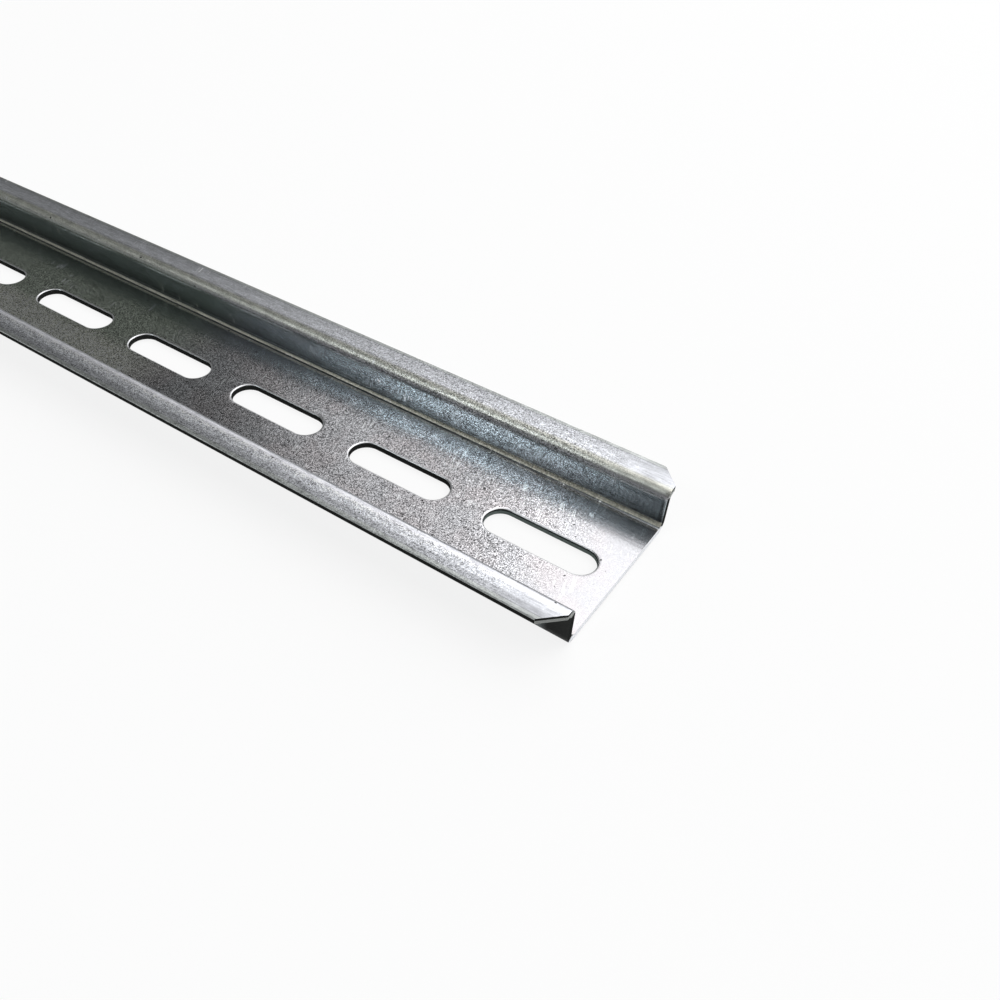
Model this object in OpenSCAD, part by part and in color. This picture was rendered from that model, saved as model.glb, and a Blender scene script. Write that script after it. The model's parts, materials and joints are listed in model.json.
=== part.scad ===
// Slotted top-hat mounting rail, TH 35-7.5 profile, cold rolled from zinc plated
// steel strip. One piece: a flat web, two walls bent up from it and two lips bent
// outward, with a row of screw slots punched along the web and the corners of the
// lips clipped at each end.
// X runs along the rail, Y across it and Z up from the back of the web.
// The origin is in the middle of the back of the web.

/* [Rail] */
// Length of the rail
rail_length = 300; // [100:25:2000]
// Overall width across the two lips
rail_width = 35; // [34:0.1:37]
// Height from the back of the web to the top of the lips
rail_height = 7.5; // [7:0.1:15]
// Outer width of the channel, across its two walls
channel_width = 27; // [25:0.1:27.5]
// Thickness of the steel strip
strip_thickness = 1; // [0.8:0.05:1.5]
// Radius inside each bend of the strip
bend_radius = 0.8; // [0.4:0.05:1.2]
// Radius of the two corners along the outer edge of each lip
edge_radius = 0.15; // [0.05:0.05:0.3]

/* [Slots] */
// Distance from the centre of one slot to the centre of the next
slot_pitch = 25; // [23:0.5:40]
// Length of each slot from end to end
slot_length = 18; // [10:0.1:20]
// Width of each slot
slot_width = 5.2; // [4:0.1:7]
// Radius that the punch draws down round the top edge of each slot
punch_roll = 0.3; // [0.1:0.05:0.5]

/* [Ends] */
// Length of the clipped corner of a lip, measured along the rail
clip_length = 3; // [1:0.1:8]
// Width of the clipped corner of a lip, measured across the rail
clip_width = 3; // [1:0.1:4]

/* [Hidden] */
$fn = 64;
// How far a cutting solid runs past the surface that it cuts
overcut = 1;

outer_radius = bend_radius + strip_thickness;
wall_outside = channel_width / 2;
wall_inside = wall_outside - strip_thickness;
lip_edge = rail_width / 2;
web_end = wall_inside - bend_radius;
lip_start = wall_outside + bend_radius;
wall_top = rail_height - outer_radius;

slot_count = floor(rail_length / slot_pitch);
slot_radius = slot_width / 2;
end_offset = (slot_length - slot_width) / 2;

// A quarter of a disc, on the side of its centre that side_y and side_z give.
module quarter_disc(radius, side_y, side_z) {
  intersection() {
    circle(r = radius);
    translate([side_y < 0 ? -radius : 0, side_z < 0 ? -radius : 0]) square(radius);
  }
}

// The section of one bend in the strip, which turns through a quarter circle.
module bend(centre_y, centre_z, side_y, side_z) {
  translate([centre_y, centre_z])
    difference() {
      quarter_disc(outer_radius, side_y, side_z);
      circle(r = bend_radius);
    }
}

// The section of one lip, from its bend to its outer edge with rounded corners.
module lip() {
  underside = rail_height - strip_thickness;
  flat_end = lip_edge - edge_radius;
  translate([lip_start, underside]) square([flat_end - lip_start, strip_thickness]);
  translate([flat_end, underside + edge_radius]) {
    square([edge_radius, strip_thickness - 2 * edge_radius]);
    quarter_disc(edge_radius, 1, -1);
  }
  translate([flat_end, rail_height - edge_radius]) quarter_disc(edge_radius, 1, 1);
}

// The section of the strip from the middle of the web to the edge of one lip.
module half_section() {
  square([web_end, strip_thickness]);
  bend(web_end, outer_radius, 1, -1);
  translate([wall_inside, outer_radius])
    square([strip_thickness, wall_top - outer_radius]);
  bend(lip_start, wall_top, -1, 1);
  lip();
}

// The rolled strip at its full length, before it is punched and clipped.
module strip() {
  translate([-rail_length / 2, 0, 0])
    rotate([90, 0, 90])
      linear_extrude(height = rail_length) {
        half_section();
        mirror([1, 0]) half_section();
      }
}

// The outline of one slot, seen from above.
module slot_outline() {
  for (side = [-1, 1])
    translate([side * end_offset, 0]) circle(r = slot_radius);
  square([2 * end_offset, slot_width], center = true);
}

// The corner between the wall of a slot and the top of the web that the punch
// rounds over, drawn with the wall of the slot at zero on the horizontal axis.
module roll_corner() {
  difference() {
    translate([-overcut, strip_thickness - punch_roll])
      square([overcut + punch_roll, punch_roll + overcut]);
    translate([punch_roll, strip_thickness - punch_roll]) circle(r = punch_roll);
  }
}

// One punched slot: the opening through the web and its rounded top edge.
module slot() {
  translate([0, 0, -overcut])
    linear_extrude(height = strip_thickness + 2 * overcut) slot_outline();
  for (side = [-1, 1]) {
    translate([side * end_offset, 0, 0])
      rotate_extrude() translate([slot_radius, 0]) roll_corner();
    translate([-end_offset, 0, 0])
      rotate([90, 0, 90])
        linear_extrude(height = 2 * end_offset)
          scale([side, 1]) translate([slot_radius, 0]) roll_corner();
  }
}

// The wedge clipped from the corner of a lip at one end of the rail. Its slanted
// face runs past the lip on both sides, by spare times the size of the clip.
module clip(end, side) {
  spare = overcut / clip_width;
  translate([end * rail_length / 2, side * lip_edge, -overcut])
    linear_extrude(height = rail_height + 2 * overcut)
      scale([end, side])
        polygon([
          [-clip_length * (1 + spare), clip_width * spare],
          [clip_length * spare, -clip_width * (1 + spare)],
          [clip_length * spare, clip_width * spare],
        ]);
}

module rail() {
  color("#b9bcc4")
    difference() {
      strip();
      for (i = [0 : slot_count - 1])
        translate([(i - (slot_count - 1) / 2) * slot_pitch, 0, 0]) slot();
      for (end = [-1, 1], side = [-1, 1]) clip(end, side);
    }
}

rail();
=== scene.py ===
"""Looks of a slotted top-hat mounting rail of zinc-plated steel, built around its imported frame."""

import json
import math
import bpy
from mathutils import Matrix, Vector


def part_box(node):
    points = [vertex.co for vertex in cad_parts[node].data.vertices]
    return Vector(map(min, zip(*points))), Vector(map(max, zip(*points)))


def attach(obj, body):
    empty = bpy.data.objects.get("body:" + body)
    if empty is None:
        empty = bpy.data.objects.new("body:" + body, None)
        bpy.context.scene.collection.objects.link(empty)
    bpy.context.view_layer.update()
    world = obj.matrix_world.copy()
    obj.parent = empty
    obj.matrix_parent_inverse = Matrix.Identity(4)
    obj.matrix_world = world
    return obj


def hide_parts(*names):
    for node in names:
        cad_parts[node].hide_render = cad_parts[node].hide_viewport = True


bl_info = {
    "name": "Top-hat mounting rail",
    "version": (1, 0, 0),
    "blender": (4, 5, 0),
    "location": "3D View > Sidebar > Rail",
    "description": "Builds a slotted, zinc-plated top-hat mounting rail and a plain studio for it",
    "category": "Object",
}

import bmesh
import bpy
from bpy.props import FloatProperty, FloatVectorProperty, IntProperty, PointerProperty
from mathutils import Euler, Vector

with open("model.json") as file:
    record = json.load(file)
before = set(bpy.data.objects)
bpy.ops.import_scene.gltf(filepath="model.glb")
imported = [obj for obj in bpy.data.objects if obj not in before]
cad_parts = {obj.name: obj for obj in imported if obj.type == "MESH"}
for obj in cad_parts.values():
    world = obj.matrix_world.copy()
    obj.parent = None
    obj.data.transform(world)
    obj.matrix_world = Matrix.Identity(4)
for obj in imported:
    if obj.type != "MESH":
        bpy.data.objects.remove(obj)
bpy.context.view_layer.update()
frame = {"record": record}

NODE = "rail"
PIECE = "rail_strip"
SLOT = "zinc_plated_steel"
MM = 0.001


# ---------------------------------------------------------------- sizes and colours


def slot_mounts():
    """The record's mounts that are pairs of slots, the innermost pair first."""
    mounts = [m for m in frame["record"]["mounts"] if m["kind"] == "bolt_pattern"]
    return sorted(mounts, key=lambda m: m["dims"]["spacing_x_mm"])


LOW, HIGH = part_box(NODE)
SLOT_DIMS = slot_mounts()[0]["dims"]


def distance(name, description, default):
    """A property that holds a length in metres, shown in the scene's units."""
    return FloatProperty(
        name=name,
        description=description,
        default=default,
        min=0.0,
        unit="LENGTH",
        subtype="DISTANCE",
        precision=5,
    )


def colour(name, description, default):
    """A property that holds a linear colour."""
    return FloatVectorProperty(
        name=name, description=description, default=default, min=0.0, max=1.0, size=3, subtype="COLOR"
    )


def factor(name, description, default, highest=1.0):
    """A property that holds a plain number from zero up."""
    return FloatProperty(name=name, description=description, default=default, min=0.0, max=highest)


def facets(name, description, default):
    """A property that holds how many flat facets stand for a curve."""
    return IntProperty(name=name, description=description, default=default, min=3, max=32)


def angle(name, description, degrees):
    """A property that holds an angle, given here in degrees."""
    return FloatProperty(name=name, description=description, default=math.radians(degrees), subtype="ANGLE")


class RailShape(bpy.types.PropertyGroup):
    """Sizes of the rolled strip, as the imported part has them."""

    length: distance("Length", "Length of the rail", HIGH.x - LOW.x)
    width: distance("Width", "Width across the two lips", HIGH.y - LOW.y)
    height: distance("Height", "Height from the back of the web to the lips", HIGH.z - LOW.z)
    channel_width: distance("Channel width", "Width across the outsides of the two walls", 27.0 * MM)
    thickness: distance("Thickness", "Thickness of the strip", 1.0 * MM)
    bend_radius: distance("Bend radius", "Radius inside each bend", 0.8 * MM)
    edge_radius: distance("Edge radius", "Rounding of the lips' outer edges", 0.15 * MM)
    slot_pitch: distance("Slot pitch", "Distance between slot centres", SLOT_DIMS["spacing_x_mm"] * MM)
    slot_length: distance("Slot length", "Length of a slot", SLOT_DIMS["slot_length_mm"] * MM)
    slot_width: distance("Slot width", "Width of a slot", 2 * SLOT_DIMS["hole_r_mm"] * MM)
    punch_roll: distance("Punch roll", "Rounding of a slot's top edge", 0.3 * MM)
    clip_length: distance("Clip length", "Length of a clipped lip corner", 3.0 * MM)
    clip_width: distance("Clip width", "Width of a clipped lip corner", 3.0 * MM)
    edge_bevel: distance("Edge bevel", "Width of the worn bevel on cut edges", 0.05 * MM)
    bend_steps: facets("Bend steps", "Facets round each bend", 10)
    arc_steps: facets("Corner steps", "Facets from a slot's side to its cell's corner", 8)


class RailFinish(bpy.types.PropertyGroup):
    """Colours and grain of the plated steel."""

    web_zinc: colour("Web", "Plating on the flat web", (0.44, 0.44, 0.46))
    olive_zinc: colour("Olive", "Plating that has turned olive along the middle", (0.42, 0.46, 0.40))
    # Painted light: a pale glow of reflected light on the near side of the olive web.
    painted_olive_glow: colour("Pale olive", "Olive plating rubbed pale on the near side", (0.97, 0.97, 0.84))
    mauve_zinc: colour("Mauve clouds", "Warm clouds in the web's plating", (0.455, 0.435, 0.45))
    wall_zinc: colour("Walls", "Plating on the two walls", (0.39, 0.44, 0.465))
    # Painted highlight: pale lines in the inner bends, which are also made rougher and less metallic.
    inner_bend_highlight: colour("Inner bends", "Crazed plating in the inner bends", (0.56, 0.54, 0.46))
    # Painted highlight: the far bend, on the far side only, is coloured pale where its highlight falls.
    far_bend_highlight_colour: colour("Far bend", "Plating rubbed by the rolls on the far bend", (0.66, 0.66, 0.60))
    # Painted highlight: the near bend, on the near side only, is coloured pale where its highlight falls.
    near_bend_highlight: colour("Near bend", "Plating burnished by the rolls on the near bend", (0.80, 0.80, 0.85))
    lip_zinc: colour("Lips", "Plating burnished by the rolls on the lips", (0.64, 0.65, 0.69))
    edge_zinc: colour("Lip edges", "Duller plating along the edges of the lips", (0.40, 0.415, 0.41))
    scratch: colour("Scratch", "Bright metal in the scratches", (0.90, 0.91, 0.93))
    pit: colour("Pit", "Dark pits in the plating", (0.05, 0.05, 0.05))
    # Painted highlight: the rolled top edges of the slots are coloured pale where their highlight falls.
    drawn_zinc: colour("Slot edges", "Plating polished by the punch round the slots", (0.70, 0.70, 0.72))
    # Painted shade: the outsides of the walls, under the lips, are coloured darker where shade falls.
    painted_wall_shade: colour("Sheltered", "Dull plating on the outside of the walls", (0.24, 0.26, 0.26))
    # Partly the bare steel's own colour and partly painted shade: the slots' walls, the lower slit edges,
    # the walls' sawn ends and the near bend's lower band are coloured near black where shade falls.
    dark_steel_and_shade: colour("Dark steel", "Bare steel on punched and slit edges", (0.022, 0.023, 0.022))
    # Less painted shade: the lower walls of the slots nearest the ends are coloured lighter.
    end_slot_steel: colour("End slots", "Cleaner steel in the slots nearest the ends", (0.15, 0.18, 0.17))
    # Partly fresh steel and partly painted highlight: the web's sawn end is coloured near white where
    # strong light falls on it.
    sawn_steel_and_highlight: colour("Sawn steel", "Bare steel on the sawn end of the web", (0.86, 0.87, 0.90))
    clipped_steel: colour("Clipped steel", "Bare steel low on the clipped corners", (0.36, 0.37, 0.36))
    facet_size: distance("Facet size", "Size of the plating's crystals", 0.12 * MM)
    grain_size: distance("Grain size", "Size of the clusters of crystals", 0.32 * MM)
    facet_contrast: factor("Facet contrast", "How much the crystals differ in colour", 3.0, 4.0)
    grain_contrast: factor("Grain contrast", "How much the clusters differ in colour", 0.55, 4.0)
    facet_height: distance("Facet height", "Height of the crystals' relief", 0.007 * MM)
    grain_height: distance("Grain height", "Height of the clusters' relief", 0.012 * MM)
    wave_height: distance("Wave height", "Height of the waves that the rolls leave", 0.020 * MM)
    web_roughness: factor("Web roughness", "Roughness of the web and the walls", 0.23)
    lip_roughness: factor("Lip roughness", "Roughness of the lips and their bends", 0.42)


class RailStudio(bpy.types.PropertyGroup):
    """The floor, the lamps and the camera."""

    floor_colour: colour("Floor", "Colour of the floor", (0.92, 0.92, 0.92))
    floor_glow: factor("Floor glow", "How far the floor's own white hides the shadow on it", 0.85)
    mirror_glow: factor("Mirrored glow", "How much of the floor's and backdrop's white is reflected", 0.30)
    back_light: factor("Back light", "Radiance of the tall lamp behind the rail", 1.65, 20.0)
    left_light: factor("Left light", "Radiance of the narrow lamp behind it, to the left", 0.75, 20.0)
    side_light: factor("Side light", "Radiance of the lamp off the rail's end", 1.3, 20.0)
    top_light: factor("Top light", "Radiance of the lamp overhead", 2.0, 20.0)
    front_light: factor("Front light", "Radiance of the small lamp in front, to the left", 4.8, 20.0)
    low_light: factor("Low light", "Radiance of the dim reflector low at the left", 0.05, 20.0)
    room_light: factor("Room light", "Radiance of the dim room all round", 0.10, 5.0)
    backdrop_white: factor("Backdrop white", "How pale the backdrop shows, low round the room", 0.88)
    camera_place: FloatVectorProperty(
        name="Camera place",
        description="Where the camera is, from the middle of the back of the rail's end",
        default=(0.0302, -0.0848, 0.0967),
        size=3,
        subtype="TRANSLATION",
        unit="LENGTH",
    )
    camera_azimuth: angle("Camera azimuth", "Turn about Z from looking along +Y", 36.56)
    camera_elevation: angle("Camera elevation", "How far the camera looks down", 46.95)
    camera_lens: FloatProperty(
        name="Lens",
        description="Focal length on a 36 mm sensor",
        default=34.25,
        unit="CAMERA",
    )


# ---------------------------------------------------------------- shape of the strip


def arc(centre, radius, start, end, steps):
    """Points along an arc in a plane, between two angles in degrees, both ends included."""
    angles = [math.radians(start + (end - start) * k / steps) for k in range(steps + 1)]
    return [(centre[0] + radius * math.cos(a), centre[1] + radius * math.sin(a)) for a in angles]


def between(start, end, steps):
    """Evenly spaced numbers from start to end, both included."""
    return [start + (end - start) * k / steps for k in range(steps + 1)]


class Section:
    """The bent part of half the strip, from the flat web to the edge of a lip.

    stations is a list of (top point, bottom point, distance across the flat strip)
    in metres. The marks beside it are such distances too."""

    wall_steps = 6
    flat_steps = 3
    edge_steps = 3

    def __init__(self, shape):
        self.shape = shape
        inner, outer = shape.bend_radius, shape.bend_radius + shape.thickness
        wall_outside = shape.channel_width / 2
        wall_inside = wall_outside - shape.thickness
        self.web_end = wall_inside - inner
        lip_start = wall_outside + inner
        wall_top = shape.height - outer
        self.lip_edge = shape.width / 2
        self.clip_start = self.lip_edge - shape.clip_width
        flat_end = self.lip_edge - shape.edge_radius
        underside = shape.height - shape.thickness
        low, high = (self.web_end, outer), (lip_start, wall_top)

        top = arc(low, inner, -90, 0, shape.bend_steps)
        bottom = arc(low, outer, -90, 0, shape.bend_steps)
        rises = between(outer, wall_top, self.wall_steps)[1:]
        top += [(wall_inside, z) for z in rises]
        bottom += [(wall_outside, z) for z in rises]
        top += arc(high, outer, 180, 90, shape.bend_steps)[1:]
        bottom += arc(high, inner, 180, 90, shape.bend_steps)[1:]
        for start, end in ((lip_start, self.clip_start), (self.clip_start, flat_end)):
            runs = between(start, end, self.flat_steps)[1:]
            top += [(y, shape.height) for y in runs]
            bottom += [(y, underside) for y in runs]
        upper = (flat_end, shape.height - shape.edge_radius)
        lower = (flat_end, underside + shape.edge_radius)
        top += arc(upper, shape.edge_radius, 90, 0, self.edge_steps)[1:]
        bottom += arc(lower, shape.edge_radius, -90, 0, self.edge_steps)[1:]
        self.stations = self.measured(top, bottom)
        across = [station[2] for station in self.stations]
        self.wall_start = across[shape.bend_steps]
        self.wall_finish = across[shape.bend_steps + self.wall_steps]
        self.lip_start = across[2 * shape.bend_steps + self.wall_steps]
        self.lip_finish = across[-1]

    def measured(self, top, bottom):
        """The stations, each with its distance across the strip before it was bent."""
        middles = [((a[0] + b[0]) / 2, (a[1] + b[1]) / 2) for a, b in zip(top, bottom)]
        across = [self.web_end]
        for before, after in zip(middles, middles[1:]):
            across.append(across[-1] + math.dist(before, after))
        return list(zip(top, bottom, across))


class Cell:
    """One pitch of the web: a slot, and the rectangle of web round it."""

    straight_steps = 12
    ring_shares = (0.0, 0.05, 0.14, 0.3, 0.6, 1.0)
    roll_steps = 5
    drawn_steps = 3
    wall_steps = 3

    def __init__(self, shape, web_end):
        self.shape = shape
        self.half_length = shape.slot_pitch / 2
        self.half_width = web_end
        self.radius = shape.slot_width / 2
        self.end_offset = (shape.slot_length - shape.slot_width) / 2
        self.side_steps = 2 * shape.arc_steps
        self.turn_steps = 2 * shape.arc_steps + self.side_steps

    def outline(self, offset):
        """Points (x, y) round the slot, grown by offset, clockwise from the left of its far side."""
        radius = self.radius + offset
        xs = between(-self.end_offset, self.end_offset, self.straight_steps)
        turn = arc((self.end_offset, 0), radius, 90, -90, self.turn_steps)[1:-1]
        half = [(x, radius) for x in xs] + turn
        return half + [(-x, -y) for x, y in half]

    def border(self):
        """Points (x, y) round the cell's rectangle, one for each point of the outline."""
        xs = between(-self.end_offset, self.end_offset, self.straight_steps)
        corner = between(self.end_offset, self.half_length, self.shape.arc_steps)
        side = self.side_stations()
        half = [(x, self.half_width) for x in xs + corner[1:]]
        half += [(self.half_length, y) for y in side[1:]]
        half += [(x, -self.half_width) for x in corner[-2:0:-1]]
        return half + [(-x, -y) for x, y in half]

    def side_stations(self):
        """The y of each point down the side of the rectangle."""
        return between(self.half_width, -self.half_width, self.side_steps)

    def run_stations(self):
        """The x of each point along the top of the rectangle."""
        corner = between(self.end_offset, self.half_length, self.shape.arc_steps)
        straight = between(-self.end_offset, self.end_offset, self.straight_steps)
        return [-x for x in reversed(corner)] + straight[1:-1] + corner

    def rings(self):
        """Closed rings of points from the top of the web, down the slot's wall, to the back.

        Each is (points, kind), with the kind of surface that joins it to the ring before it."""
        thickness, roll = self.shape.thickness, self.shape.punch_roll
        border, rolled, edge = self.border(), self.outline(roll), self.outline(0)
        rings = []
        for share in reversed(self.ring_shares):
            rings.append(([self.blend(a, b, share, thickness) for a, b in zip(rolled, border)], "plated"))
        for k in range(1, self.roll_steps + 1):
            angle = math.radians(90 * k / self.roll_steps)
            outline = self.outline(roll * (1 - math.sin(angle)))
            height = thickness - roll * (1 - math.cos(angle))
            # The upper steps of the roll carry the painted highlight round the slot.
            kind = "drawn" if k <= self.drawn_steps else "punched"
            rings.append(([(x, y, height) for x, y in outline], kind))
        for z in between(thickness - roll, 0, self.wall_steps)[1:]:
            rings.append(([(x, y, z) for x, y in edge], "punched"))
        for share in self.ring_shares[1:]:
            rings.append(([self.blend(a, b, share, 0) for a, b in zip(edge, border)], "back"))
        return rings

    @staticmethod
    def blend(inner, outer, share, z):
        """The point that lies a share of the way from inner to outer, at height z."""
        x, y = (start + (finish - start) * share for start, finish in zip(inner, outer))
        return (x, y, z)


class Patchwork:
    """Collects patches of quads and welds them into one closed mesh."""

    kinds = ("punched", "drawn", "sawn", "back")
    # How near each other two points are, in metres, to be welded.
    weld_reach = 1e-7

    def __init__(self):
        self.points, self.across, self.faces, self.kind = [], [], [], []

    def patch(self, rows, across, kind="plated", closed=False):
        """Adds a grid of points, with how far across the flat strip each of them lies."""
        base, width = len(self.points), len(rows[0])
        for row, distances in zip(rows, across):
            self.points += row
            self.across += distances
        for r in range(len(rows) - 1):
            for c in range(width if closed else width - 1):
                a, b = base + r * width + c, base + r * width + (c + 1) % width
                self.faces.append((a, b, b + width, a + width))
                self.kind.append(kind)

    def mesh(self, name):
        """The welded mesh, with its attributes and outward normals."""
        mesh = bpy.data.meshes.new(name)
        mesh.from_pydata(self.points, [], self.faces)
        mesh.attributes.new("across", "FLOAT", "POINT").data.foreach_set("value", self.across)
        for kind in self.kinds:
            values = [float(k == kind) for k in self.kind]
            mesh.attributes.new(kind, "FLOAT", "FACE").data.foreach_set("value", values)
        weld = bmesh.new()
        weld.from_mesh(mesh)
        bmesh.ops.remove_doubles(weld, verts=weld.verts, dist=self.weld_reach)
        bmesh.ops.recalc_face_normals(weld, faces=weld.faces)
        open_edges = [e for e in weld.edges if len(e.link_faces) != 2]
        if open_edges:
            raise RuntimeError(f"the strip isn't closed: {len(open_edges)} open edges")
        weld.to_mesh(mesh)
        weld.free()
        return mesh


def strip_patches(shape):
    """The whole strip as patches: a cell for each slot, and the two bent sides."""
    section = Section(shape)
    cell = Cell(shape, section.web_end)
    work = Patchwork()
    half = shape.length / 2
    count = round(shape.length / shape.slot_pitch)
    rings = cell.rings()
    centres = [(i - (count - 1) / 2) * shape.slot_pitch for i in range(count)]
    for centre in centres:
        for before, (ring, kind) in zip(rings, rings[1:]):
            rows = [[(x + centre, y, z) for x, y, z in points] for points in (before[0], ring)]
            work.patch(rows, [[y for _, y, _ in row] for row in rows], kind, closed=True)

    xs = [centre + x for centre in centres for x in cell.run_stations()[:-1]] + [half]
    trim_start = half - cell.half_length + cell.end_offset
    for side in (-1, 1):
        tops, bottoms, across = [], [], []
        for top, bottom, distance_across in section.stations:
            trim = max(0.0, top[0] - section.clip_start) * shape.clip_length / shape.clip_width
            row = [trimmed(x, trim_start, half, trim) for x in xs]
            tops.append([(x, side * top[0], top[1]) for x in row])
            bottoms.append([(x, side * bottom[0], bottom[1]) for x in row])
            across.append([side * distance_across] * len(row))
        work.patch(tops, across)
        work.patch(bottoms, across, "back")
        work.patch([tops[-1], bottoms[-1]], [across[-1]] * 2, "punched")
        for end in (0, -1):
            rows = [[row[end] for row in tops], [row[end] for row in bottoms]]
            work.patch(rows, [[row[end] for row in across]] * 2, "sawn")
    for end in (-half, half):
        ys = cell.side_stations()
        work.patch([[(end, y, z) for y in ys] for z in (shape.thickness, 0)], [ys] * 2, "sawn")
    return work


def trimmed(x, start, end, trim):
    """x along the strip, squeezed past start so that the end is short by trim."""
    if abs(x) <= start:
        return x
    return math.copysign(start + (abs(x) - start) * (end - trim - start) / (end - start), x)


# ---------------------------------------------------------------- shader helpers


class Wire:
    """A shader socket. Arithmetic on it adds Math nodes to the same tree."""

    def __init__(self, tree, socket):
        self.tree = tree
        self.socket = socket

    def maths(self, operation, *values):
        """A Math node on these values, which are wires or numbers."""
        node = self.tree.nodes.new("ShaderNodeMath")
        node.operation = operation
        for socket, value in zip(node.inputs, values):
            plug(self.tree, socket, value)
        return Wire(self.tree, node.outputs[0])

    def __add__(self, other):
        return self.maths("ADD", self, other)

    __radd__ = __add__

    def __sub__(self, other):
        return self.maths("SUBTRACT", self, other)

    def __rsub__(self, other):
        return self.maths("SUBTRACT", other, self)

    def __mul__(self, other):
        return self.maths("MULTIPLY", self, other)

    __rmul__ = __mul__

    def __abs__(self):
        return self.maths("ABSOLUTE", self)

    def at_least(self, other):
        """The larger of this and other."""
        return self.maths("MAXIMUM", self, other)


def plug(tree, socket, value):
    """Links a wire to a socket, or sets the socket to a plain value."""
    if isinstance(value, Wire):
        tree.links.new(value.socket, socket)
    elif socket.type == "RGBA":
        socket.default_value = (*value, 1.0)
    else:
        socket.default_value = value


class NodeBook:
    """A node tree to fill. Node sockets are named as Blender shows them, or numbered."""

    def __init__(self, tree):
        self.tree = tree
        self.tree.nodes.clear()

    def node(self, kind, settings, sockets, output=None):
        """Adds a node, sets its settings and then its sockets, and returns one output."""
        node = self.tree.nodes.new(kind)
        for name, value in settings.items():
            setattr(node, name, value)
        for key, value in sockets.items():
            open_sockets = [s for s in node.inputs if s.enabled]
            named = [s for s in open_sockets if s.name == key]
            plug(self.tree, named[0] if named else open_sockets[key], value)
        outputs = [s for s in node.outputs if s.enabled and output in (None, s.name)]
        return Wire(self.tree, outputs[0]) if outputs else None

    def attribute(self, name):
        """A number stored on the mesh."""
        return self.node("ShaderNodeAttribute", {"attribute_name": name}, {}, "Fac")

    def spot(self):
        """The x, y and z on the part in millimetres."""
        metres = self.node("ShaderNodeTexCoord", {}, {}, "Object")
        spot = self.node("ShaderNodeVectorMath", {"operation": "MULTIPLY"}, {0: metres, 1: (1 / MM,) * 3})
        return [self.node("ShaderNodeSeparateXYZ", {}, {"Vector": spot}, axis) for axis in "XYZ"]

    def vector(self, x, y, z):
        """A vector from three wires or numbers."""
        return self.node("ShaderNodeCombineXYZ", {}, {"X": x, "Y": y, "Z": z})

    def noise(self, place, scale, detail=2.0, roughness=0.5):
        """Noise from 0 to 1 with features about 1 / scale of a unit of place wide."""
        sockets = {"Vector": place, "Scale": scale, "Detail": detail, "Roughness": roughness}
        return self.node("ShaderNodeTexNoise", {}, sockets, "Fac")

    def crystals(self, place, scale):
        """Cells about 1 / scale of a unit of place wide, each with its own number from 0 to 1."""
        return self.node("ShaderNodeTexVoronoi", {}, {"Vector": place, "Scale": scale}, "Color") + 0.0

    def step(self, value, low, high):
        """0 below low and 1 above high, with a smooth step between."""
        sockets = {"Value": value, "From Min": low, "From Max": high}
        return self.node("ShaderNodeMapRange", {"interpolation_type": "SMOOTHSTEP"}, sockets)

    def band(self, value, low, high, blur):
        """1 from low to high and 0 outside, with smooth steps of width blur."""
        rise = self.step(value, low - blur / 2, low + blur / 2)
        return rise - self.step(value, high - blur / 2, high + blur / 2)

    def mix(self, share, first, second, blend="MIX"):
        """A colour between first and second."""
        settings = {"data_type": "RGBA", "blend_type": blend}
        return self.node("ShaderNodeMix", settings, {"Factor": share, "A": first, "B": second})


class Finish(NodeBook):
    """A node material."""

    def __init__(self, name):
        self.material = bpy.data.materials.new(name)
        self.material.use_nodes = True
        super().__init__(self.material.node_tree)

    def close(self, shader):
        """Ends the tree in the surface output and returns the material."""
        self.node("ShaderNodeOutputMaterial", {}, {"Surface": shader})
        return self.material


# ---------------------------------------------------------------- finishes


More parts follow.
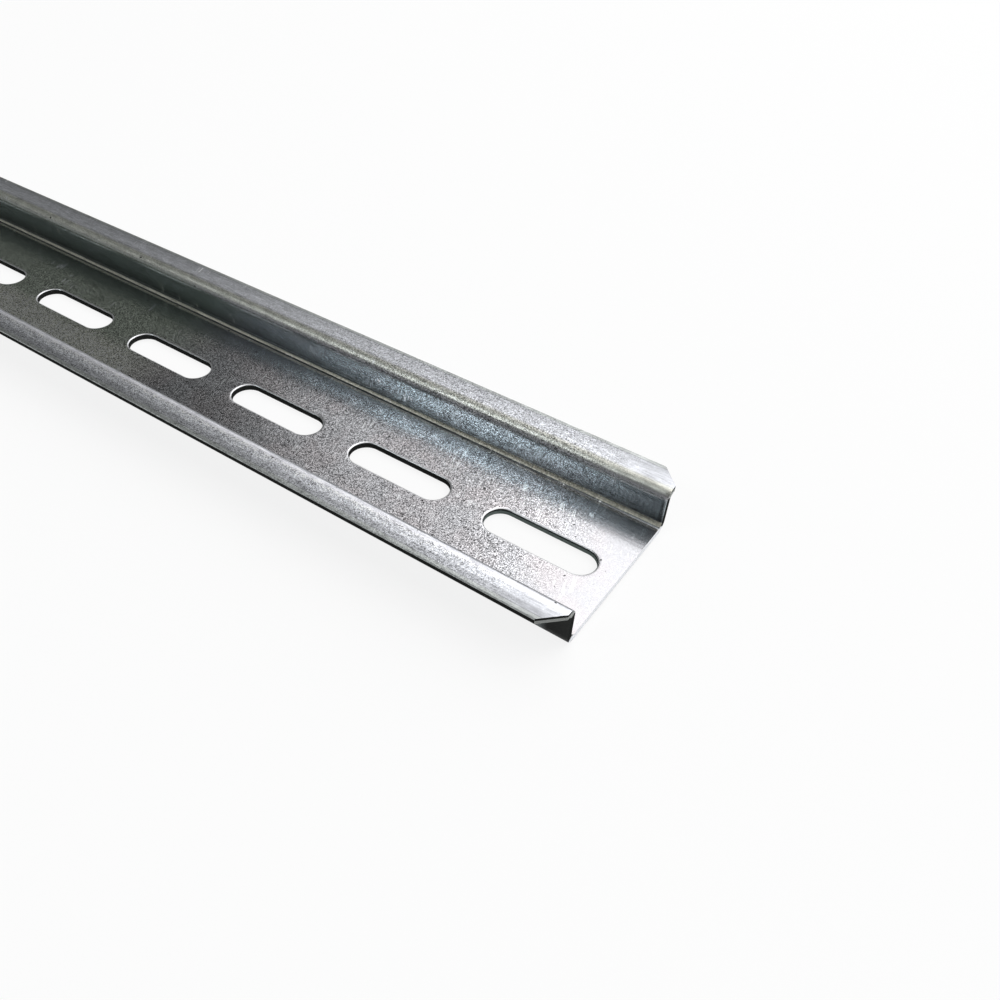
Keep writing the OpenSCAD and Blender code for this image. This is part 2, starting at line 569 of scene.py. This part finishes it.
class ZincFinish(Finish):
    """Bright zinc plating on cold-rolled strip, with bare steel where the strip is cut.

    Its distances are in millimetres. Across the strip they run from the middle of the
    web, as the strip was before it was bent, and signed_across is negative on the near
    side. A mark is the distance across at which the web, a wall or a lip starts or ends."""

    # Zones across the strip: from a mark and an offset to a mark and an offset, and the blur.
    zones = {
        "lower_bend": ("web_end", 0.0, "wall_start", 0.0, 0.2),
        "upper_bend": ("wall_finish", 0.0, "lip_start", 0.0, 0.4),
        "walls": ("web_end", 0.4, "wall_finish", 0.3, 0.8),
        "first_line": ("web_end", -0.3, "web_end", 0.35, 0.3),
        "crease_shade": ("web_end", 0.45, "web_end", 0.75, 0.15),
        "foot_shade": ("wall_start", 0.15, "wall_start", 0.5, 0.2),
        "rim": ("lip_finish", -0.75, "lip_finish", -0.62, 0.1),
        "wall_cut": ("web_end", 1.2, "wall_finish", 0.6, 0.3),
        "outside": ("web_end", 1.0, "lip_start", 0.0, 0.8),
        "far_bend_highlight": ("wall_finish", 0.8, "lip_start", -0.35, 0.5),
        "near_bend_highlight": ("lip_start", -0.55, "lip_start", 0.4, 0.3),
        "near_bend_shade": ("wall_finish", 0.5, "lip_start", -0.6, 0.3),
        "track": ("lip_finish", -1.7, "lip_finish", -0.8, 0.4),
    }
    # Soft edges across the strip: from a mark and an offset to a mark and an offset.
    edges = {
        "far_strip": ("web_end", -5.5, "web_end", -1.5),
        "second_line": ("web_end", 0.75, "web_end", 0.95),
        "second_line_end": ("wall_start", -0.3, "wall_start", 0.25),
        "off_web": ("web_end", 0.0, "wall_start", 0.0),
        "off_web_cut": ("web_end", 1.1, "web_end", 1.3),
        "up_wall": ("wall_start", 0.4, "wall_finish", -0.8),
        "over_wall": ("wall_finish", 0.0, "wall_finish", 0.5),
        "upper": ("wall_finish", 0.2, "wall_finish", 1.2),
        "clipped": ("wall_finish", 0.5, "wall_finish", 0.8),
        "over_lip": ("lip_start", 0.0, "lip_finish", 0.0),
        "lip_edge": ("lip_finish", -0.80, "lip_finish", -0.45),
        "at_edge": ("lip_finish", -0.3, "lip_finish", -0.2),
        "slit": ("lip_finish", -0.13, "lip_finish", -0.07),
    }
    # Soft edges along the rail: how far from its end they start and finish.
    end_steps = {
        "past_painted_end_shade": (3, 5),
        "past_burnish": (3, 17),
        "middle": (20, 60),
        "calm": (45, 80),
    }
    # Noise on the flat strip: how far it is stretched along and across, then its scale,
    # detail and roughness.
    patterns = {
        "tint": (0.5, 1.0, 0.035, 2.0, 0.5),
        "waves": (0.08, 1.0, 0.8, 2.0, 0.5),
        "lines": (0.03, 1.0, 6.0, 3.0, 0.7),
        "rubs": (0.12, 1.0, 3.4, 3.0, 0.7),
        "smudges": (0.22, 1.0, 1.3, 3.0, 0.7),
        "streaks": (0.35, 1.0, 1.1, 3.0, 0.6),
        "groups": (1.0, 1.0, 0.3, 2.0, 0.5),
    }
    # The share of a clipped edge, from the top, that is dark.
    dark_share = 0.42
    # Half the height over which the steel changes on a clipped edge.
    dark_blur = 0.05
    # How far above that change the bare steel of a slit edge starts and finishes fading.
    slit_fade = (0.12, 0.22)
    # The heights between which the lighter steel of a slot's wall turns dark.
    sheared_heights = (0.62, 0.70)
    # How far from the rail's end the slots' walls are painted less dark, and the blur.
    end_slot_reach = 25
    end_slot_blur = 1
    # How far from the rail's middle the olive plating starts and finishes fading.
    olive_reach = (50, 70)

    def __init__(self, look, shape):
        super().__init__(SLOT)
        self.look = look
        section = Section(shape)
        self.marks = {
            "web_end": section.web_end / MM,
            "wall_start": section.wall_start / MM,
            "wall_finish": section.wall_finish / MM,
            "lip_start": section.lip_start / MM,
            "lip_finish": section.lip_finish / MM,
        }
        self.half_length = shape.length / 2 / MM
        self.top_steel = (shape.height - self.dark_share * shape.thickness) / MM
        self.x, self.y, self.z = self.spot()
        self.signed_across = self.attribute("across") * (1 / MM)
        self.across = abs(self.signed_across)
        self.near_across = self.signed_across * -1
        self.from_end = self.half_length - abs(self.x)
        self.even = self.vector(self.x, self.y, self.z)
        self.upper = self.past("upper", self.across)
        self.walls = self.zone("walls", self.across)
        lower_bend = self.zone("lower_bend", self.across)
        upper_bend = self.zone("upper_bend", self.across)
        self.bends = lower_bend + upper_bend
        self.bend_highlights = self.bend_highlight_lines()
        self.lip_edge = self.past("lip_edge", self.across)
        self.calm = self.along("calm")
        near_side = self.step(self.near_across, 0.0, 1.0)
        burnished = 1 - self.along("past_burnish")
        self.plain_grain = 1 - 0.5 * near_side * upper_bend - 0.5 * lower_bend - 0.35 * self.upper
        self.plain_grain = self.plain_grain * (1 - 0.4 * self.lip_edge) * (1 - 0.9 * burnished)
        self.clusters = self.noise(self.even, MM / look.grain_size, 2.0, 0.7)
        self.lines = self.pattern("lines")

    def zone(self, name, place):
        """1 where place lies in the zone of that name, and 0 outside it."""
        low_mark, low_offset, high_mark, high_offset, blur = self.zones[name]
        low, high = self.marks[low_mark] + low_offset, self.marks[high_mark] + high_offset
        return self.band(place, low, high, blur)

    def past(self, name, place):
        """0 where place lies before the soft edge of that name, and 1 past it."""
        low_mark, low_offset, high_mark, high_offset = self.edges[name]
        low, high = self.marks[low_mark] + low_offset, self.marks[high_mark] + high_offset
        return self.step(place, low, high)

    def along(self, name):
        """0 from the rail's end to the soft edge of that name, and 1 from there to its middle."""
        return self.step(self.from_end, *self.end_steps[name])

    def unrolled(self, along, across):
        """A place on the flat strip, stretched by these factors along it and across it."""
        return self.vector(self.x * along, self.signed_across * across, 0.0)

    def slanted(self, along, turn, across):
        """A place on the flat strip, stretched and turned for marks that run aslant across it."""
        return self.vector(self.x * along + self.y * turn, self.signed_across * across, 0.0)

    def pattern(self, name):
        """The noise of that name, from 0 to 1."""
        along, across, scale, detail, roughness = self.patterns[name]
        return self.noise(self.unrolled(along, across), scale, detail, roughness)

    def bend_highlight_lines(self):
        """Two pale lines of painted highlight in each inner bend, the first fainter and the second wider at
        the ends.
        """
        middle = self.along("middle")
        first = self.zone("first_line", self.across)
        start = self.past("second_line", self.across)
        finish = self.past("second_line_end", self.across + 0.5 * middle)
        return (0.15 + 0.35 * middle) * first + start * (1 - finish)

    def web_plating(self):
        """The colour of the web: mauve clouds at the ends, olive along the middle of the rail, with a
        painted pale glow of reflected light on the olive's near side.
        """
        look = self.look
        cloud = self.noise(self.even, 0.12, 3.0, 0.6)
        middle = 1 - self.step(abs(self.x) + 40 * (self.pattern("tint") - 0.5), *self.olive_reach)
        # Painted light: the near side of the olive web is coloured pale where reflected light glows on it.
        rubbed = self.step(self.near_across + 3 * (cloud - 0.5), 1.0, 6.0)
        ends = self.mix(self.step(cloud, 0.35, 0.60), look.mauve_zinc, look.web_zinc)
        return self.mix(middle, ends, self.mix(rubbed, look.olive_zinc, look.painted_olive_glow))

    def lip_plating(self):
        """The colour of the lips: burnished, darker towards the edge, and darker still on the far side as
        painted shade.
        """
        look = self.look
        fading = 1 - 0.25 * self.past("over_lip", self.across)
        # Painted shade: the far lip is coloured darker than the near one.
        fading = fading * (1 - 0.18 * self.past("over_wall", self.signed_across))
        return self.mix(self.lip_edge, self.mix(1.0, look.lip_zinc, fading, "MULTIPLY"), look.edge_zinc)

    def plating(self):
        """The colour of all the plating before it is scratched, with painted highlights and painted shade
        on the walls and bends.
        """
        look = self.look
        # Painted shade: the walls are coloured darker towards their bottoms, down in the channel.
        wall_foot_shade = 0.45 + 0.55 * self.past("up_wall", self.across)
        wall = self.mix(1.0, look.wall_zinc, wall_foot_shade, "MULTIPLY")
        colour_now = self.mix(self.walls, self.web_plating(), wall)
        colour_now = self.mix(self.upper, colour_now, self.lip_plating())
        # Painted highlight on the far bend.
        colour_now = self.mix(self.zone("far_bend_highlight", self.signed_across), colour_now, look.far_bend_highlight_colour)
        # Painted highlight on the top of the near bend, and painted shade on its lower part, both on the
        # near side only.
        colour_now = self.mix(self.zone("near_bend_highlight", self.near_across), colour_now, look.near_bend_highlight)
        bend_shade = 0.35 * self.zone("near_bend_shade", self.near_across)
        colour_now = self.mix(bend_shade, colour_now, look.dark_steel_and_shade)
        # Painted highlight: the pale lines in the inner bends.
        return self.mix(self.bend_highlights, colour_now, look.inner_bend_highlight)

    def shade(self):
        """How much the grain, rubs and smudges lighten or darken the plating, with painted shade in the
        inner bends' folds and low on the walls.
        """
        look = self.look
        crystals = self.crystals(self.even, MM / look.facet_size)
        lines = self.lines - 0.5
        strokes = self.noise(self.slanted(1.6, 0.6, 0.45), 1.6, 2.0, 0.7) - 0.5
        streaks = self.pattern("streaks") - 0.5
        rubs = self.pattern("rubs") - 0.5
        far_strip = self.past("far_strip", self.signed_across)
        speckle = look.facet_contrast * (crystals - 0.5) + look.grain_contrast * (self.clusters - 0.5)
        shade = 1 + self.plain_grain * (1 - 0.7 * self.calm * far_strip) * speckle
        shade = shade + 0.9 * self.bends * lines
        shade = shade + self.walls * (1 - 0.7 * self.calm) * (0.6 * streaks + 1.3 * strokes)
        shade = shade + self.upper * (0.6 * streaks + 1.3 * rubs)
        # Painted shade in the fold of each inner bend and at the bottom of each wall.
        shade = shade * (1 - 0.4 * self.zone("crease_shade", self.across))
        shade = shade * (1 - 0.35 * self.zone("foot_shade", self.across))
        shade = shade * (1 + 1.6 * self.bend_highlights * lines)
        shade = shade * (1 - 0.25 * self.zone("track", self.near_across))
        shade = shade * (1 - 0.35 * self.zone("rim", self.across))
        return shade * (1 - 0.4 * self.step(self.pattern("smudges"), 0.56, 0.66) * self.walls)

    def scratches(self):
        """Thin bright scratches that run across the strip, in sparse groups."""
        strokes = abs(self.noise(self.slanted(1.3, 0.35, 0.06), 1.0, 0.0) - 0.5)
        groups = self.pattern("groups") - 0.06 * self.past("off_web", self.across)
        return (1 - self.step(strokes, 0.008, 0.04)) * self.step(groups, 0.57, 0.62)

    def pits(self):
        """Small dark pits."""
        return self.step(self.noise(self.even, 1.5, 0.0), 0.85, 0.88)

    def cuts(self):
        """1 on bare cut steel: the slots' walls, the sawn and clipped ends and the slit edges."""
        low, high = (self.top_steel + fade for fade in self.slit_fade)
        slit = self.past("slit", self.across) * (1 - self.step(self.z, low, high))
        punched = self.attribute("punched") * (1 - self.past("at_edge", self.across))
        return (punched + self.attribute("sawn")).at_least(slit)

    def torn(self, cut):
        """Where a cut is torn and matt: everywhere but on the sawn end of the web."""
        on_web = 1 - self.past("off_web_cut", self.across)
        return cut * (1 - self.attribute("sawn") * on_web)

    def cut_steel(self):
        """The colour of the bare steel on each kind of cut: painted near black as shade on most cuts, and
        near white as a highlight on the web's sawn end.
        """
        look = self.look
        reach = self.half_length - self.end_slot_reach
        end_slots = self.step(abs(self.x), reach, reach + self.end_slot_blur)
        sheared = self.step(self.z, *self.sheared_heights)
        # Painted shade: the slots' walls are coloured near black, less so low in the slots nearest the
        # ends.
        punched = self.mix(end_slots * (1 - sheared), look.dark_steel_and_shade, look.end_slot_steel)
        low, high = self.top_steel - self.dark_blur, self.top_steel + self.dark_blur
        clipped = self.mix(self.step(self.z, low, high), look.clipped_steel, look.dark_steel_and_shade)
        # Painted highlight on the web's sawn end, and painted shade on the walls' sawn ends.
        wall_cut = self.zone("wall_cut", self.across)
        sawn = self.mix(wall_cut, look.sawn_steel_and_highlight, look.dark_steel_and_shade)
        sawn = self.mix(self.past("clipped", self.across), sawn, clipped)
        return self.mix(self.attribute("sawn"), punched, sawn)

    def relief(self, drawn):
        """The normal of the plating's crystals and clusters, and of what the rolls leave."""
        look = self.look
        bumps = self.noise(self.even, MM / look.facet_size, 1.0)
        height = self.plain_grain * (self.clusters * look.grain_height + bumps * look.facet_height)
        height = height * (1 - 0.8 * drawn) + self.pattern("waves") * look.wave_height
        height = height + self.bends * self.lines * (0.8 * look.grain_height)
        sockets = {"Strength": 1.0, "Distance": 1.0, "Height": height}
        return self.node("ShaderNodeBump", {}, sockets, "Normal")

    def build(self):
        """The whole material: shiny plating and cuts, mixed with matt steel where a cut is torn."""
        look = self.look
        drawn, cut, steel = self.attribute("drawn"), self.cuts(), self.cut_steel()
        colour_now = self.mix(1.0, self.plating(), self.shade(), "MULTIPLY")
        colour_now = self.mix(0.8 * self.scratches(), colour_now, look.scratch)
        colour_now = self.mix(self.pits(), colour_now, look.pit)
        # Painted highlight on the slots' rolled top edges.
        colour_now = self.mix(drawn, colour_now, look.drawn_zinc)
        # Painted shade: the back of the strip along the outsides of the walls is coloured dark, and near
        # black close to the rail's ends, where shadow falls under the lips.
        outside = self.attribute("back") * self.zone("outside", self.across)
        painted_end_shade = 1 - self.along("past_painted_end_shade")
        colour_now = self.mix(outside, colour_now, self.mix(painted_end_shade, look.painted_wall_shade, look.dark_steel_and_shade))
        rough = look.web_roughness + (look.lip_roughness - look.web_roughness) * self.upper
        # The painted highlight lines of the inner bends are also rougher and less metallic.
        rough = rough + 0.10 * (self.clusters - 0.5) + 0.15 * cut + 0.12 * drawn + 0.2 * self.bend_highlights
        sockets = {
            "Base Color": self.mix(cut, colour_now, steel),
            "Metallic": 1 - 0.38 * self.bend_highlights,
            "Roughness": rough,
            "Normal": self.relief(drawn),
        }
        plated = self.node("ShaderNodeBsdfPrincipled", {}, sockets)
        sockets = {"Base Color": steel, "Roughness": 0.9, "Specular IOR Level": 0.0}
        matt = self.node("ShaderNodeBsdfPrincipled", {}, sockets)
        return self.close(self.node("ShaderNodeMixShader", {}, {0: self.torn(cut), 1: plated, 2: matt}))


def ray_kinds(book):
    """1 for rays from the camera, and 1 for rays that a glossy or a clear surface sends on."""
    kinds = ("Camera", "Glossy", "Transmission")
    camera, glossy, clear = (book.node("ShaderNodeLightPath", {}, {}, f"Is {kind} Ray") for kind in kinds)
    return camera, glossy.at_least(clear)


def floor_finish(studio):
    """A matt pale floor that glows white to the camera, less so in reflections, and shows a shadow."""
    book = Finish("pale_floor")
    camera, mirrored = ray_kinds(book)
    shown = camera * studio.floor_glow + mirrored * studio.mirror_glow
    matt = book.node("ShaderNodeBsdfDiffuse", {}, {"Color": studio.floor_colour})
    white = book.node("ShaderNodeEmission", {}, {"Color": (1.0, 1.0, 1.0), "Strength": 1.0})
    return book.close(book.node("ShaderNodeMixShader", {}, {0: shown, 1: matt, 2: white}))


# ---------------------------------------------------------------- operators


class RAIL_OT_strip(bpy.types.Operator):
    """Build the rolled strip and give it its zinc finish"""

    bl_idname = "rail.strip"
    bl_label = "Rolled strip"

    bevel_facets = 2
    # The angle in degrees past which an edge is a cut edge, and is worn.
    sharp_angle = 50

    def execute(self, context):
        shape, look = context.scene.rail_shape, context.scene.rail_finish
        mesh = strip_patches(shape).mesh(PIECE)
        mesh.materials.append(ZincFinish(look, shape).build())
        mesh.shade_smooth()
        piece = bpy.data.objects.new(PIECE, mesh)
        context.scene.collection.objects.link(piece)
        bevel = piece.modifiers.new("worn_edges", "BEVEL")
        bevel.width = shape.edge_bevel
        bevel.segments = self.bevel_facets
        bevel.limit_method = "ANGLE"
        bevel.angle_limit = math.radians(self.sharp_angle)
        piece.modifiers.new("flat_faces", "WEIGHTED_NORMAL").keep_sharp = True
        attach(piece, "root")
        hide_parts(NODE)
        return {"FINISHED"}


class RAIL_OT_studio(bpy.types.Operator):
    """Build the floor, the room, the lamps and the camera"""

    bl_idname = "rail.studio"
    bl_label = "Studio"

    floor_reach = 8.0
    floor_gap = 0.2 * MM
    # The elevations in degrees between which the backdrop fades into the room.
    backdrop_fade = (12, 19)
    room_tint = (0.95, 1.0, 0.97)
    lamp_reach = 1.0
    white_lamp = (1.0, 1.0, 1.0)
    cool_lamp = (0.94, 1.0, 1.02)
    # Each lamp's heading clockwise of +Y, its elevation, its width and height, and its tint.
    lamps = {
        "back": (11, 36, (1.05, 1.45), white_lamp),
        "left": (-32, 33, (0.50, 1.3), white_lamp),
        "side": (70, 40, (1.0, 1.0), white_lamp),
        "top": (0, 88, (0.6, 0.6), white_lamp),
        "front": (-143.5, 42, (0.23, 0.28), cool_lamp),
        "low": (-66, 27, (0.40, 0.40), white_lamp),
    }
    sensor_width = 36.0
    # How far the view is shifted off the lens's axis, as shares of its width.
    camera_shift = (0.0758, 0.0620)
    nearest_seen = 5.0 * MM

    def execute(self, context):
        scene = context.scene
        studio = scene.rail_studio
        end = Vector((HIGH.x, (LOW.y + HIGH.y) / 2, LOW.z))
        self.floor(scene, studio, end.z - self.floor_gap)
        self.room(scene, studio)
        lights = {
            "back": studio.back_light,
            "left": studio.left_light,
            "side": studio.side_light,
            "top": studio.top_light,
            "front": studio.front_light,
            "low": studio.low_light,
        }
        for name, radiance in lights.items():
            self.lamp(scene, name, end, radiance)
        self.camera(scene, studio, end)
        scene.view_settings.view_transform = "Standard"
        return {"FINISHED"}

    def floor(self, scene, studio, height):
        """A wide flat floor just under the rail."""
        reach = self.floor_reach
        mesh = bpy.data.meshes.new("floor")
        corners = [(-reach, -reach), (reach, -reach), (reach, reach), (-reach, reach)]
        mesh.from_pydata([(x, y, height) for x, y in corners], [], [(0, 1, 2, 3)])
        mesh.materials.append(floor_finish(studio))
        floor = bpy.data.objects.new("floor", mesh)
        scene.collection.objects.link(floor)

    def room(self, scene, studio):
        """A dim room with a pale backdrop low round it, which only the camera and reflections see."""
        world = bpy.data.worlds.new("room")
        world.use_nodes = True
        book = NodeBook(world.node_tree)
        direction = book.node("ShaderNodeTexCoord", {}, {}, "Generated")
        rise = book.node("ShaderNodeSeparateXYZ", {}, {"Vector": direction}, "Z")
        low = 1 - book.step(rise, *(math.sin(math.radians(degrees)) for degrees in self.backdrop_fade))
        room = [studio.room_light * part for part in self.room_tint]
        camera, mirrored = ray_kinds(book)
        shown = low * (camera + mirrored * studio.mirror_glow)
        colour_now = book.mix(shown, room, (studio.backdrop_white,) * 3)
        background = book.node("ShaderNodeBackground", {}, {"Color": colour_now, "Strength": 1.0})
        book.node("ShaderNodeOutputWorld", {}, {"Surface": background})
        scene.world = world

    def lamp(self, scene, name, target, radiance):
        """The soft rectangular lamp of that name, which faces target."""
        heading, elevation, size, tint = self.lamps[name]
        turn, rise = math.radians(heading), math.radians(elevation)
        away = Vector((math.sin(turn) * math.cos(rise), math.cos(turn) * math.cos(rise), math.sin(rise)))
        data = bpy.data.lights.new(f"{name}_lamp", "AREA")
        data.shape = "RECTANGLE"
        data.size, data.size_y = size
        data.energy = radiance * math.pi * size[0] * size[1]
        data.color = tint
        lamp = bpy.data.objects.new(f"{name}_lamp", data)
        lamp.location = target + self.lamp_reach * away
        lamp.rotation_euler = away.to_track_quat("Z", "Y").to_euler()
        lamp.visible_camera = False
        scene.collection.objects.link(lamp)

    def camera(self, scene, studio, end):
        """The camera, close above the end of the rail."""
        data = bpy.data.cameras.new("camera")
        data.sensor_width = self.sensor_width
        data.lens = studio.camera_lens
        data.shift_x, data.shift_y = self.camera_shift
        data.clip_start = self.nearest_seen
        camera = bpy.data.objects.new("camera", data)
        camera.location = end + Vector(studio.camera_place)
        camera.rotation_euler = Euler((math.pi / 2 - studio.camera_elevation, 0.0, studio.camera_azimuth))
        scene.collection.objects.link(camera)
        scene.camera = camera


class RAIL_PT_panel(bpy.types.Panel):
    """Sizes, colours and buttons of the rail"""

    bl_idname = "RAIL_PT_panel"
    bl_label = "Mounting rail"
    bl_space_type = "VIEW_3D"
    bl_region_type = "UI"
    bl_category = "Rail"

    def draw(self, context):
        scene = context.scene
        for group in (scene.rail_shape, scene.rail_finish, scene.rail_studio):
            box = self.layout.box()
            for name in group.__annotations__:
                box.prop(group, name)
        for operator in (RAIL_OT_strip, RAIL_OT_studio):
            self.layout.operator(operator.bl_idname)


CLASSES = (RailShape, RailFinish, RailStudio, RAIL_OT_strip, RAIL_OT_studio, RAIL_PT_panel)


def register():
    for cls in CLASSES:
        bpy.utils.register_class(cls)
    bpy.types.Scene.rail_shape = PointerProperty(type=RailShape)
    bpy.types.Scene.rail_finish = PointerProperty(type=RailFinish)
    bpy.types.Scene.rail_studio = PointerProperty(type=RailStudio)


def unregister():
    del bpy.types.Scene.rail_shape
    del bpy.types.Scene.rail_finish
    del bpy.types.Scene.rail_studio
    for cls in reversed(CLASSES):
        bpy.utils.unregister_class(cls)


def main():
    register()
    bpy.ops.rail.strip()
    bpy.ops.rail.studio()


if __name__ == "__main__":
    main()
